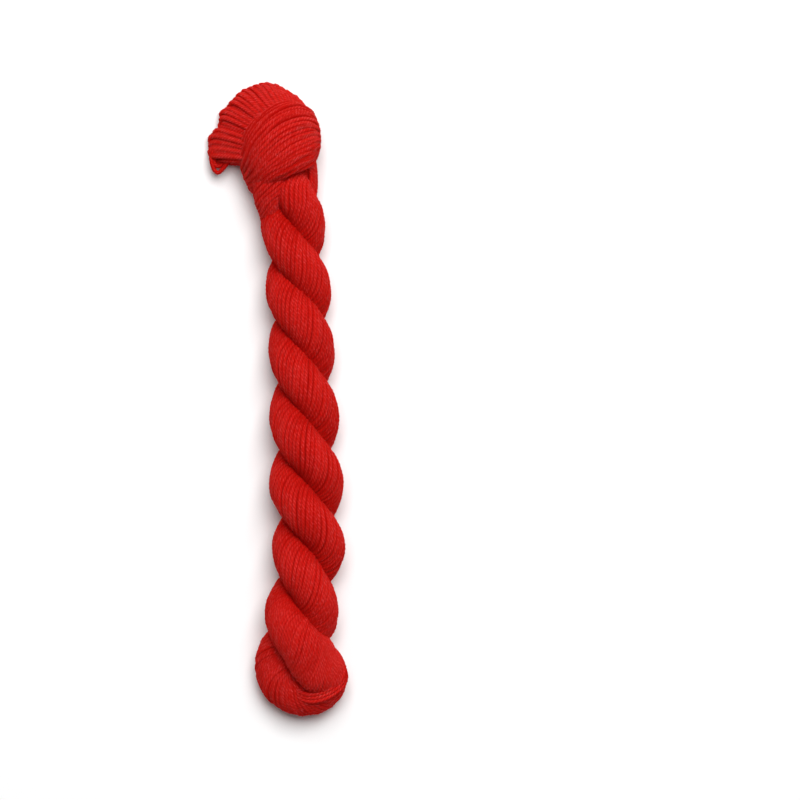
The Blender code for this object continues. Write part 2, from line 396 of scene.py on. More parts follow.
@dataclass
class Bundle:
    """A bundle of turns: its middle line, and at each place the half sizes of its section."""

    middle: np.ndarray
    outward: np.ndarray  # the way that flat is measured along
    across: np.ndarray  # the way that wide is measured along
    flat: np.ndarray
    wide: np.ndarray
    walked: np.ndarray  # how far along the line each place lies
    closed: bool

    @classmethod
    def along(cls, rows: np.ndarray, step: float, closed: bool = False) -> "Bundle":
        """Draws a bundle along a table of stations.

        Args:
            rows: x, y, z, the outward way's x, y, z, flat and wide of each station.
            step: The distance between two places of the bundle.
            closed: Whether the last station meets the first.

        Returns:
            The bundle.
        """
        rows = np.asarray(rows, float)
        rows[:, 3:6] = unit(rows[:, 3:6])
        if closed:
            rows = np.vstack([rows[-2:], rows, rows[:3]])
        fine = smooth_rows(rows)
        if closed:
            fine = fine[2 * PER_GAP : -2 * PER_GAP]
        even = even_rows(fine, step)
        even = even[:-1] if closed else even
        middle = even[:, :3]
        if closed:
            forward = np.roll(middle, -1, axis=0) - np.roll(middle, 1, axis=0)
        else:
            forward = np.gradient(middle, axis=0)
        along = unit(forward)
        outward = even[:, 3:6]
        outward = unit(outward - along * np.sum(outward * along, axis=1, keepdims=True))
        across = np.cross(outward, along)
        walked = np.arange(len(even)) * step
        return cls(middle, outward, across, even[:, 6], even[:, 7], walked, closed)

    def lean(self) -> np.ndarray:
        """How far the outward way has turned about the middle line.

        Returns:
            The turn at each place, in shares of a round, against a way that is carried along
            the line without turning.
        """
        along = np.cross(self.across, self.outward)
        carried = self.outward[0]
        found = np.empty(len(along))
        for i, forward in enumerate(along):
            carried = unit(carried - forward * float(carried @ forward))
            side = np.cross(carried, forward)
            found[i] = math.atan2(float(self.outward[i] @ side), float(self.outward[i] @ carried))
        return np.unwrap(found) / (2 * math.pi)

    def girth(self) -> np.ndarray:
        """The way round the section at each place."""
        a, b = self.wide, self.flat
        return math.pi * (3 * (a + b) - np.sqrt((3 * a + b) * (a + 3 * b)))

    def lay(self, shares: np.ndarray, inset: np.ndarray) -> np.ndarray:
        """Places turns on the bundle's surface.

        Args:
            shares: A row for each place and a column for each turn, the share of the way
                round the section, from its outward side.
            inset: The same for how deep below the section's edge a turn's middle lies.

        Returns:
            For each turn, its rows: a point, and the way out of the bundle there.
        """
        angles = np.linspace(0.0, 2 * math.pi, SECTION_STEPS + 1)
        middles = (angles[1:] + angles[:-1]) / 2
        speed = np.hypot(
            self.wide[:, None] * np.cos(middles), self.flat[:, None] * np.sin(middles)
        )
        arcs = np.concatenate([np.zeros((len(speed), 1)), np.cumsum(speed, axis=1)], axis=1)
        arcs /= arcs[:, -1:]
        found = np.stack([np.interp(s % 1.0, arc, angles) for s, arc in zip(shares, arcs)])
        out = np.cos(found) * (self.flat[:, None] - inset)
        side = np.sin(found) * (self.wide[:, None] - inset)
        points = (
            self.middle[:, None, :]
            + out[..., None] * self.outward[:, None, :]
            + side[..., None] * self.across[:, None, :]
        )
        ways = np.cos(found)[..., None] * self.outward[:, None, :]
        ways = ways + np.sin(found)[..., None] * self.across[:, None, :]
        return np.concatenate([points, ways], axis=-1).transpose(1, 0, 2)


@dataclass
class Turn:
    """One turn of yarn.

    Attributes:
        path: Its points, the way out of the hank at each and, in the rope, how far the point
            lies in the valleys between the plies.
        closed: Whether it meets itself.
        plump: How thick it is, as a share of the yarn.
    """

    path: np.ndarray
    closed: bool = False
    plump: float = 1.0


@dataclass
class Value:
    """A number in a shader, which takes part in sums and adds their Math nodes."""

    bench: "Bench"
    socket: bpy.types.NodeSocket

    def maths(self, operation: str, *others: "Value | float") -> "Value":
        """Adds a Math node on this value and the others."""
        sockets = dict(enumerate((self, *others)))
        return self.bench.value("ShaderNodeMath", {"operation": operation}, sockets)

    def __add__(self, other: "Value | float") -> "Value":
        """This plus the other."""
        return self.maths("ADD", other)

    def __mul__(self, other: "Value | float") -> "Value":
        """This times the other."""
        return self.maths("MULTIPLY", other)

    def __sub__(self, other: "Value | float") -> "Value":
        """This less the other."""
        return self.maths("SUBTRACT", other)

    def __truediv__(self, other: "Value | float") -> "Value":
        """This over the other."""
        return self.maths("DIVIDE", other)

    def held(self) -> "Value":
        """This, held between 0 and 1."""
        return self.bench.value("ShaderNodeClamp", {}, {"Value": self})

    def above(self, start: float, gain: float) -> "Value":
        """What of this lies above a start, made larger and held between 0 and 1."""
        return ((self - start) * gain).held()


@dataclass
class Bench:
    """Where one material's nodes are put together."""

    tree: bpy.types.NodeTree

    def node(self, kind: str, settings: dict, sockets: dict) -> bpy.types.Node:
        """Adds a node.

        Args:
            kind: Its type.
            settings: Its properties, set before its sockets.
            sockets: For each input, by name or number, a value, a socket or a constant.

        Returns:
            The node.
        """
        made = self.tree.nodes.new(kind)
        for name, setting in settings.items():
            setattr(made, name, setting)
        for name, given in sockets.items():
            source = given.socket if isinstance(given, Value) else given
            if isinstance(source, bpy.types.NodeSocket):
                self.tree.links.new(source, made.inputs[name])
            else:
                made.inputs[name].default_value = source
        return made

    def value(self, kind: str, settings: dict, sockets: dict, output: int | str = 0) -> Value:
        """Adds a node and takes one of its outputs as a number."""
        return Value(self, self.node(kind, settings, sockets).outputs[output])

    def mixed(self, share: Value, low: tuple | Value, high: tuple | Value) -> Value:
        """Mixes two colours by a share."""
        settings = {"data_type": "RGBA", "clamp_factor": True}
        return self.value("ShaderNodeMix", settings, {0: share, 6: low, 7: high}, 2)

    def noise(
        self, spot: bpy.types.NodeSocket, scale: float, detail: float, roughness: float = 0.5
    ) -> Value:
        """Adds a noise texture at a spot."""
        sockets = {"Vector": spot, "Scale": scale, "Detail": detail, "Roughness": roughness}
        return self.value("ShaderNodeTexNoise", {}, sockets)


def new_material(
    name: str, constants: dict[str, float | tuple]
) -> tuple[bpy.types.Material, Bench, bpy.types.Node]:
    """Starts a material.

    Args:
        name: Its name.
        constants: What sockets of its shader are set to.

    Returns:
        The material, its bench and its Principled shader.
    """
    material = bpy.data.materials.new(name)
    material.use_nodes = True
    shader = material.node_tree.nodes["Principled BSDF"]
    for socket, constant in constants.items():
        shader.inputs[socket].default_value = constant
    return material, Bench(material.node_tree), shader


@dataclass(frozen=True)
class SockWool:
    """The yarn's finish: soft red wool with fine lengthwise fibres, lighter on its crowns and
    darker in its hollows by painted light and shade, with painted glints.
    """

    name: str = "red_sock_wool"
    # The wool as lit on its crowns, painted shade for its hollows between turns and plies, and
    # the colour of painted glints.
    crown: tuple = (0.575, 0.0120, 0.0078, 1.0)
    hollow: tuple = (0.41, 0.0034, 0.0014, 1.0)
    lustre: tuple = (0.70, 0.100, 0.108, 1.0)
    scatter: tuple = (1.0, 0.10, 0.07)
    scatter_reach: float = 0.4 * MM
    roughness: float = 0.9
    gloss: float = 0.06
    sheen: float = 0.04
    sheen_roughness: float = 0.45
    sheen_tint: tuple = (1.0, 0.10, 0.08, 1.0)
    fibre_depth: float = 0.05 * MM
    fibre_strength: float = 0.7
    fibres_round: float = YARN_RADIUS * 7.0  # how fine the fibres are round the yarn
    fibres_along: float = 0.55  # the same along it
    fibre_shift: float = 40.0  # how far each turn's fibres are from another's
    cloud_scale: float = 95.0
    fleck_scale: float = 900.0
    # Where each of these begins to tell, and how steeply.
    crest_range: tuple[float, float] = (0.5, 2.6)
    fleck_range: tuple[float, float] = (0.36, 2.8)
    glint_range: tuple[float, float] = (0.40, 2.6)
    # How much each of these lightens the colour from the hollow's painted shade to the crown's:
    # the crest and the plies' lobes as painted light and shade, the highlight spots as painted
    # highlights, the rest as the wool's own tone.
    by_crest: float = 0.75
    lobe_base: float = 0.6
    by_lobe: float = 0.06
    by_fleck: float = 0.3
    by_fibre: float = 0.5
    by_tone: float = 0.25
    by_cloud: float = 0.4
    # A shift of them all towards the hollow's painted shade.
    darkening: float = 0.58  # the same for all

    def make(self) -> bpy.types.Material:
        """Builds the material on the yarn's own map: along it in mm, and round it.

        Returns:
            The material.
        """
        constants = {
            "Roughness": self.roughness,
            "Specular IOR Level": self.gloss,
            "Subsurface Weight": 1.0,
            "Subsurface Radius": self.scatter,
            "Subsurface Scale": self.scatter_reach,
            "Sheen Weight": self.sheen,
            "Sheen Roughness": self.sheen_roughness,
            "Sheen Tint": self.sheen_tint,
        }
        material, bench, shader = new_material(self.name, constants)
        spots = bench.node("ShaderNodeTexCoord", {}, {})
        split = bench.node("ShaderNodeSeparateXYZ", {}, {0: spots.outputs["UV"]})
        along = Value(bench, split.outputs["X"])
        round_it = Value(bench, split.outputs["Y"])
        tone = bench.value("ShaderNodeAttribute", {"attribute_name": "tone"}, {}, "Fac")
        # How far a point stands out of the hank, lowered in the rope's valleys: where it is low,
        # the colour takes the hollow's painted shade.
        crest = bench.value("ShaderNodeAttribute", {"attribute_name": "crest"}, {}, "Fac")
        crest = crest.above(*self.crest_range)
        lobe = (round_it * (2 * math.pi * YARN_PLIES)).maths("COSINE")
        fibres = self.fibres(bench, along, round_it, tone)
        cloud = bench.noise(spots.outputs["Object"], self.cloud_scale, 2.0)
        # Spots of painted highlight, as the lustre of the fibres.
        highlight_fleck = bench.noise(spots.outputs["Object"], self.fleck_scale, 1.0)
        highlight_fleck = highlight_fleck.above(*self.fleck_range)
        # Painted light on each ply's crown and painted shade between the plies, with painted
        # highlights where the highlight spots lie.
        lit_lobe = (lobe + self.lobe_base) * (highlight_fleck * self.by_fleck + self.by_lobe)
        share = crest * self.by_crest + lit_lobe
        share = share + fibres * self.by_fibre + tone * self.by_tone
        share = share + cloud * self.by_cloud - self.darkening
        # Mixes the hollow's painted shade and the crown's colour by the share, which holds
        # painted light and shade as well as the wool's own tone.
        mixed_colour = bench.mixed(share.held(), self.hollow, self.crown)
        # Painted glints of lustre on the fibres, at the highlight spots and on the crowns.
        glint = fibres.above(*self.glint_range) * highlight_fleck * (lobe * 0.5 + 0.5) * crest
        mixed_colour = bench.mixed(glint, mixed_colour, self.lustre)
        bench.tree.links.new(mixed_colour.socket, shader.inputs["Base Color"])
        sockets = {
            "Strength": self.fibre_strength,
            "Distance": self.fibre_depth,
            "Height": fibres,
        }
        bump = bench.node("ShaderNodeBump", {}, sockets)
        bench.tree.links.new(bump.outputs[0], shader.inputs["Normal"])
        return material

    def fibres(self, bench: Bench, along: Value, round_it: Value, tone: Value) -> Value:
        """Adds the fibres, which run along the plies.

        Args:
            bench: Where the material is put together.
            along: How far along the yarn, in mm.
            round_it: The share of the way round it.
            tone: The turn's own number.

        Returns:
            Their noise.
        """
        turned = (round_it - along / YARN_PITCH) * (2 * math.pi)
        sockets = {
            0: turned.maths("COSINE") * self.fibres_round,
            1: turned.maths("SINE") * self.fibres_round,
            2: along * self.fibres_along + tone * self.fibre_shift,
        }
        spot = bench.node("ShaderNodeCombineXYZ", {}, sockets)
        return bench.noise(spot.outputs[0], 1.0, 3.0, 0.55)


@dataclass(frozen=True)
class InnerWool:
    """The turns beneath, of which only a dark red shows between the outer ones."""

    name: str = "inner_wool"
    deep: tuple = (0.36, 0.005, 0.003, 1.0)
    lighter: tuple = (0.46, 0.007, 0.005, 1.0)
    roughness: float = 0.95
    gloss: float = 0.1
    mottle_scale: float = 900.0

    def make(self) -> bpy.types.Material:
        """Builds the material: a matt mottle.

        Returns:
            The material.
        """
        constants = {"Roughness": self.roughness, "Specular IOR Level": self.gloss}
        material, bench, shader = new_material(self.name, constants)
        spots = bench.node("ShaderNodeTexCoord", {}, {})
        mottle = bench.noise(spots.outputs["Object"], self.mottle_scale, 3.0)
        mixed_colour = bench.mixed(mottle, self.deep, self.lighter)
        bench.tree.links.new(mixed_colour.socket, shader.inputs["Base Color"])
        return material


@dataclass(frozen=True)
class PaleFloor:
    """The plain pale surface under the hank."""

    name: str = "pale_floor"
    colour: tuple = (0.93, 0.93, 0.93, 1.0)
    roughness: float = 0.9

    def make(self) -> bpy.types.Material:
        """Builds the material."""
        constants = {"Base Color": self.colour, "Roughness": self.roughness}
        return new_material(self.name, constants)[0]


def placed(name: str, data: bpy.types.ID) -> bpy.types.Object:
    """Puts a mesh, curve, light or camera into the scene.

    Args:
        name: The object's name.
        data: What it holds.

    Returns:
        The object.
    """
    made = bpy.data.objects.new(name, data)
    bpy.context.scene.collection.objects.link(made)
    return made


def finished(bm: bmesh.types.BMesh, name: str, finish: bpy.types.Material) -> bpy.types.Object:
    """Turns a bmesh into an object of the scene.

    Args:
        bm: The bmesh, which is freed.
        name: The object's name.
        finish: Its material.

    Returns:
        The object.
    """
    mesh = bpy.data.meshes.new(name)
    bm.to_mesh(mesh)
    bm.free()
    mesh.materials.append(finish)
    return placed(name, mesh)


def dress(piece: bpy.types.Object) -> None:
    """Makes a piece of yarn ride on the hank and stand for its solid, and reports it.

    Args:
        piece: The piece.
    """
    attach(piece, "root")
    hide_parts("hank")
    triangles = sum(len(face.vertices) - 2 for face in piece.data.polygons)
    log.info("%s: %d triangles", piece.name, triangles)


def settled(points: np.ndarray, lowest: float) -> np.ndarray:
    """Moves points to the hank's place, and keeps them this far above the surface.

    Args:
        points: Points as the tables have them.
        lowest: The least height.

    Returns:
        The points, pressed softly upwards where they were lower.
    """
    moved = points - np.array([*CENTRE, REST_DEPTH])
    above = (moved[..., 2] - lowest) / REST_EASE
    moved[..., 2] = lowest + REST_EASE * np.logaddexp(0.0, above)
    return moved


@dataclass
class Drawn:
    """A turn as it was drawn: its points, and what measure needs to know of each."""

    places: np.ndarray  # in metres
    ways: np.ndarray  # out of the hank
    buried: np.ndarray
    length: float


@dataclass
class Spinner:
    """Makes turns into plied yarn: a lobed section that is drawn and twisted along them."""

    finish: bpy.types.Material
    valley: float = 0.78  # the radius between two of the yarn's plies
    sides: int = 10
    step: float = 0.62
    lowest: float = 1.0  # the least height of a turn's middle line
    pitch_range: tuple[float, float] = (0.93, 1.07)  # shares of the pitch
    wave: float = 40.0  # about how long the longest wave of its unevenness is
    uneven_twist: float = 0.5  # radians
    uneven_girth: float = 0.045
    # Painted shade: in the rope's valleys between the plies a turn's crest counts lower, so the
    # finish darkens it there.
    dimming: float = 0.42  # how much lower a turn's crest counts where it is buried
    ply: Handedness = Handedness.S_PLIED
    seed: int = 11

    def section(self) -> bpy.types.Object:
        """Makes the yarn's section.

        Returns:
            A closed curve.
        """
        data = bpy.data.curves.new("yarn_section", "CURVE")
        data.dimensions = "2D"
        line = data.splines.new("POLY")
        line.points.add(self.sides - 1)
        line.use_cyclic_u = True
        for i, point in enumerate(line.points):
            angle = 2 * math.pi * i / self.sides
            crown = 0.5 + 0.5 * math.cos(YARN_PLIES * angle)
            size = (self.valley + (YARN_RADIUS - self.valley) * crown) * MM
            point.co = (size * math.cos(angle), size * math.sin(angle), 0.0, 1.0)
        return placed("yarn_section", data)

    def draw(self, data: bpy.types.Curve, turn: Turn, rng: np.random.Generator) -> Drawn:
        """Adds one turn to a curve.

        Args:
            data: The curve.
            turn: The turn.
            rng: The source of its unevenness.

        Returns:
            What was drawn.
        """
        path = turn.path
        if turn.closed:
            path = np.vstack([path, path[:1]])
        path = even_rows(path, self.step)
        walked = lengths_along(path)
        length = walked[-1]
        rounds = length / YARN_PITCH * rng.uniform(*self.pitch_range)
        if turn.closed:
            path, walked = path[:-1], walked[:-1]
            rounds = round(rounds)
        share = walked / length
        uneven = wander(rng, share * max(round(length / self.wave), 1), DRIFT_ROUND, 2)
        tilt = self.ply.value * 2 * math.pi * rounds * share
        tilt = tilt + rng.uniform(0.0, 2 * math.pi) + self.uneven_twist * uneven[:, 0]
        thickness = turn.plump * (1 + self.uneven_girth * uneven[:, 1])
        line = data.splines.new("POLY")
        line.points.add(len(path) - 1)
        line.use_cyclic_u = turn.closed
        line.use_smooth = True
        places = settled(path[:, :3], self.lowest) * MM
        line.points.foreach_set("co", np.column_stack([places, np.ones(len(path))]).ravel())
        line.points.foreach_set("tilt", tilt)
        line.points.foreach_set("radius", thickness)
        return Drawn(places, unit(path[:, 3:6]), path[:, 6:].sum(axis=1), length)

    def spin(self, name: str, turns: Sequence[Turn]) -> bpy.types.Object:
        """Makes one piece of several turns.

        Args:
            name: The piece's name.
            turns: Its turns, all of them open or all closed.

        Returns:
            The piece.
        """
        rng = np.random.default_rng(self.seed + len(turns))
        section = self.section()
        data = bpy.data.curves.new(name, "CURVE")
        data.dimensions = "3D"
        data.bevel_mode = "OBJECT"
        data.bevel_object = section
        data.twist_mode = "MINIMUM"
        drawn = [self.draw(data, turn, rng) for turn in turns]
        holder = placed(name + "_lines", data)
        graph = bpy.context.evaluated_depsgraph_get()
        mesh = bpy.data.meshes.new_from_object(holder.evaluated_get(graph))
        mesh.name = name
        for scrap in (holder, section):
            curve = scrap.data
            bpy.data.objects.remove(scrap)
            bpy.data.curves.remove(curve)
        self.measure(mesh, turns, drawn, rng)
        if not turns[0].closed:
            self.close_ends(mesh)
        mesh.materials.clear()
        mesh.materials.append(self.finish)
        return placed(name, mesh)

    def measure(
        self,
        mesh: bpy.types.Mesh,
        turns: Sequence[Turn],
        drawn: Sequence[Drawn],
        rng: np.random.Generator,
    ) -> None:
        """Writes what the finish reads: the yarn's map, in millimetres along it, a tone for each
        turn, and how far out of the hank each corner stands on its turn, from -1 to 1, lowered in
        the valleys between the plies; the finish paints shade where this is low.

        Args:
            mesh: The turns' mesh.
            turns: The turns.
            drawn: The same as they were drawn.
            rng: The source of their tones.
        """
        counts = [len(line.places) for line in drawn]
        quads = [(count if turns[0].closed else count - 1) * self.sides for count in counts]
        spots = np.empty(len(mesh.loops) * 2)
        layer = mesh.uv_layers[0]
        layer.uv.foreach_get("vector", spots)
        spots = spots.reshape(-1, 2)
        spots[:, 0] *= np.repeat([line.length for line in drawn], np.multiply(quads, 4))
        layer.uv.foreach_set("vector", spots.ravel())
        tones = rng.uniform(-0.5, 0.5, len(turns))
        tone = mesh.attributes.new("tone", "FLOAT", "POINT")
        tone.data.foreach_set("value", np.repeat(tones, np.multiply(counts, self.sides)))
        corners = np.empty(len(mesh.vertices) * 3)
        mesh.vertices.foreach_get("co", corners)
        places = np.repeat(np.vstack([line.places for line in drawn]), self.sides, axis=0)
        ways = np.repeat(np.vstack([line.ways for line in drawn]), self.sides, axis=0)
        out = np.sum((corners.reshape(-1, 3) - places) * ways, axis=1) / (YARN_RADIUS * MM)
        # In the valleys between the plies the crest is lowered, which the finish paints as shade.
        out -= self.dimming * np.repeat(np.hstack([line.buried for line in drawn]), self.sides)
        crest = mesh.attributes.new("crest", "FLOAT", "POINT")
        crest.data.foreach_set("value", out)

    def close_ends(self, mesh: bpy.types.Mesh) -> None:
        """Closes the cut ends of the turns.

        Args:
            mesh: The turns' mesh.
        """
        bm = bmesh.new()
        bm.from_mesh(mesh)
        rims = [edge for edge in bm.edges if len(edge.link_faces) == 1]
        bmesh.ops.holes_fill(bm, edges=rims, sides=self.sides)
        bm.to_mesh(mesh)
        bm.free()


@dataclass
class PliedRope:
    """The hank's long part: its outer turns run down the first ply, round the fold at the
    foot and up the other ply, twisting against the rope's own twist."""

    count: int = 21
    parts: int = 3
    step: float = 0.4
    twist: float = -0.0335  # rounds a mm about the ply's middle line
    fold_twist: float = -0.056  # the same about the fold's
    fold_from: float = -48.0  # where along the hank the fold's twist begins to tell
    fold_to: float = -70.0
    station: float = 1.8  # from one station of a ply to the next, along the hank
    top: float = 60.0
    first_end: float = -67.0
    other_end: float = -73.0
    inset: float = 0.86
    inset_drift: float = 0.20
    inset_wave: float = 38.0
    drift: float = 0.0075  # as a share of the girth
    wave: float = 60.0
    shared_drift: float = 0.012
    shared_wave: float = 70.0
    plump: tuple[float, float] = (0.95, 1.06)  # between which its turns' thickness lies
    # Where the valleys between the plies are darkened with painted shade, and how deep.
    valleys_from: float = -72.0  # where along the hank the valleys between the plies begin
    valleys_to: float = 64.0
    valleys_fade: float = 8.0
    valley_edge: float = 0.90  # where a valley starts, as a share of the rope's radius
    valley_depth: float = 0.40  # how much deeper it is darkest, as such a share
    seed: int = 3

    def ply_rows(self, bottom: float, offset: float) -> np.ndarray:
        """The stations of one ply.

        Args:
            bottom: Where along the hank it ends.
            offset: Its place in the rope, in turns.

        Returns:
            A row for each station, as Bundle.along takes them.
        """
        y = np.linspace(self.top, bottom, round((self.top - bottom) / self.station) + 1)
        x, arm, flat, wide = read_eased(ROPE, y).T
        angle = 2 * math.pi * (read_row(CROSSINGS, y)[:, 0] + offset) + math.pi / 2
        outward = np.stack([np.cos(angle), np.zeros_like(y), np.sin(angle)], axis=-1)
        middle = np.stack([x, y, arm + flat], axis=-1) + arm[:, None] * outward
        return np.column_stack([middle, outward, flat, wide])

    def rows(self) -> np.ndarray:
        """All stations, from the neck by the fold to the root.

        Returns:
            A row for each, as Bundle.along takes them.
        """
        neck = rows_from_hub(NECK, NECK_HUB)
        first = self.ply_rows(self.first_end, 0.0)
        fold = rows_from_hub(FOLD, FOLD_HUB)
        other = self.ply_rows(self.other_end, 0.5)[::-1]
        root = rows_from_hub(ROOT, ROOT_HUB)
        return np.vstack([neck, first, fold, other[:-2], root])  # the last two meet the root

    def turns(self) -> list[Turn]:
        """Lays the outer turns, each from the neck to the root.

        Returns:
            The turns.
        """
        rng = np.random.default_rng(self.seed)
        bundle = Bundle.along(self.rows(), self.step)
        at = bundle.walked
        low = (self.fold_from - bundle.middle[:, 1]) / (self.fold_from - self.fold_to)
        low = np.clip(low, 0.0, 1.0)
        rate = self.twist + (self.fold_twist - self.twist) * low**2 * (3 - 2 * low)
        wound = np.cumsum(rate) * self.step - bundle.lean()
        shares = np.arange(self.count)[None, :] / self.count + wound[:, None]
        shares = shares + self.drift * wander(rng, at / self.wave, DRIFT, self.count)
        together = wander_shared(rng, at / self.shared_wave, SHARED_DRIFT, self.count)
        shares = shares + self.shared_drift * together
        depth = wander(rng, at / self.inset_wave, DRIFT, self.count)
        inset = self.inset + self.inset_drift * depth
        plump = rng.uniform(*self.plump, self.count)
        paths = [np.column_stack([path, self.buried(path)]) for path in bundle.lay(shares, inset)]
        return [Turn(path, plump=size) for path, size in zip(paths, plump)]

    def buried(self, path: np.ndarray) -> np.ndarray:
        """Finds where a turn dips into the valleys between the plies, which the finish darkens
        with painted shade.

        Args:
            path: The turn's path.

        Returns:
            How far each of its points lies in them, from 0 to 1.
        """
        y = path[:, 1]
        x, arm, flat, _ = read_eased(ROPE, y).T
        whole = arm + flat
        reach = np.hypot(path[:, 0] - x, path[:, 2] - whole) / whole
        foot = np.clip((y - self.valleys_from) / self.valleys_fade, 0.0, 1.0)
        knot = np.clip((self.valleys_to - y) / self.valleys_fade, 0.0, 1.0)
        return foot * knot * np.clip((self.valley_edge - reach) / self.valley_depth, 0.0, 1.0)

    def build(self, spinner: Spinner) -> list[bpy.types.Object]:
        """Makes the rope's turns, a few to a piece.

        Args:
            spinner: What makes the yarn.

        Returns:
            The pieces.
        """
        turns = self.turns()
        cut = [turns[i :: self.parts] for i in range(self.parts)]
        return [spinner.spin(f"rope_turns_{i + 1}", part) for i, part in enumerate(cut)]


@dataclass
class BesideBundle:
    """A small bundle beside the collar, whose turns run along it."""

    name: str
    table: Sequence[Sequence[float]]
    hub: tuple[float, float, float]
    count: int
    twist: float = 0.0  # rounds a mm
    step: float = 0.4
    inset: float = 0.86
    inset_drift: float = 0.15
    inset_wave: float = 18.0
    drift: float = 0.012
    wave: float = 22.0
    seed: int = 5

    def build(self, spinner: Spinner) -> list[bpy.types.Object]:
        """Makes the bundle's outer turns.

        Args:
            spinner: What makes the yarn.

        Returns:
            The piece.
        """
        rng = np.random.default_rng(self.seed)
        bundle = Bundle.along(rows_from_hub(self.table, self.hub), self.step)
        at = bundle.walked
        wound = self.twist * at - bundle.lean()
        shares = np.arange(self.count)[None, :] / self.count + wound[:, None]
        shares = shares + self.drift * wander(rng, at / self.wave, DRIFT, self.count)
        depth = wander(rng, at / self.inset_wave, DRIFT, self.count)
        inset = self.inset + self.inset_drift * depth
        paths = bundle.lay(shares, inset)
        return [spinner.spin(self.name, [Turn(path) for path in paths])]


@dataclass
class Collar:
    """The other end's loops round the neck: a wide band, crowned, whose turns bunch where it
    narrows."""

    count: int = 34
    neck: tuple[float, float] = (1.5, 10.0)  # x and z of the neck that it goes round
    step: float = 0.4
    inset: float = 0.86
    inset_drift: float = 0.2
    drift: float = 0.005
    bunching: float = 0.007
    rise: float = 0.028  # how far the turns climb across its front, as a share of the girth
    crowding: float = 1.34  # mm between turns, below which every other one sinks
    sink: float = 1.0
    plump: tuple[float, float] = (0.98, 1.1)  # between which its turns' thickness lies
    strays: int = 7  # turns that lie over the others, and climb more or less than they do
    stray_climbs: tuple[float, float] = (-0.035, 0.05)
    stray_places: tuple[float, float] = (0.2, 0.8)  # within each one's share of the way round
    stray_inset: float = 1.76  # behind the neck, where they go under
    stray_lift: float = 1.2  # from there to the front
    seed: int = 8

    def rows(self) -> np.ndarray:
        """Its stations, whose flat side faces away from the neck.

        Returns:
            A row for each, as Bundle.along takes them.
        """
        found = []
        for x, y, z, up_x, up_y, up_z, flat, wide in COLLAR:
            middle = np.array([x, y, z])
            up = unit(np.array([up_x, up_y, up_z]))
            away = middle - np.array([self.neck[0], y, self.neck[1]])
            away = away - up * float(away @ up)
            found.append([*middle, *away, flat, wide])
        return np.array(found)

    def build(self, spinner: Spinner) -> list[bpy.types.Object]:
        """Makes the collar's outer turns.

        Args:
            spinner: What makes the yarn.

        Returns:
            The piece.
        """
        rng = np.random.default_rng(self.seed)
        bundle = Bundle.along(self.rows(), self.step, closed=True)
        at = bundle.walked / (bundle.walked[-1] + self.step)
        front = at[int(np.argmax(bundle.middle[:, 2]))]
        climb = self.rise * np.sin(2 * math.pi * (at - front))
        shares = np.arange(self.count)[None, :] / self.count + climb[:, None]
        shares = shares + self.drift * wander(rng, at, DRIFT_ROUND, self.count)
        shares = shares + self.bunching * wander_shared(rng, at, BUNCHES, self.count)
        spacing = bundle.girth()[:, None] / self.count
        crowded = np.clip((self.crowding - spacing) / self.crowding, 0.0, 0.5) * 2
        odd = (np.arange(self.count) % 2)[None, :]
        inset = self.inset + self.sink * crowded * odd
        inset = inset + self.inset_drift * wander(rng, at, DRIFT_ROUND, self.count)
        paths = bundle.lay(shares, inset)
        plump = rng.uniform(*self.plump, self.count)
        turns = [Turn(path, True, size) for path, size in zip(paths, plump)]
        return [spinner.spin("collar_turns", turns + self.over(bundle, rng))]

    def over(self, bundle: Bundle, rng: np.random.Generator) -> list[Turn]:
        """Lays the few turns that cross over the others on the collar's front.

        Args:
            bundle: The collar's bundle.
            rng: The source of their places.

        Returns:
            The turns.
        """
        at = bundle.walked / (bundle.walked[-1] + self.step)
        front = at[int(np.argmax(bundle.middle[:, 2]))]
        within = rng.uniform(*self.stray_places, self.strays)
        start = (np.arange(self.strays) + within) / self.strays
        start = 0.5 * (start - 0.5)  # only on its outer half
        climbs = rng.uniform(*self.stray_climbs, self.strays)
        waves = np.sin(2 * math.pi * (at - front))[:, None]
        shares = start[None, :] + (self.rise + climbs)[None, :] * waves
        over = 0.5 + 0.5 * np.cos(2 * math.pi * (at - front))[:, None]
        inset = self.stray_inset - self.stray_lift * np.repeat(over, self.strays, axis=1)
        return [Turn(path, True) for path in bundle.lay(shares, inset)]


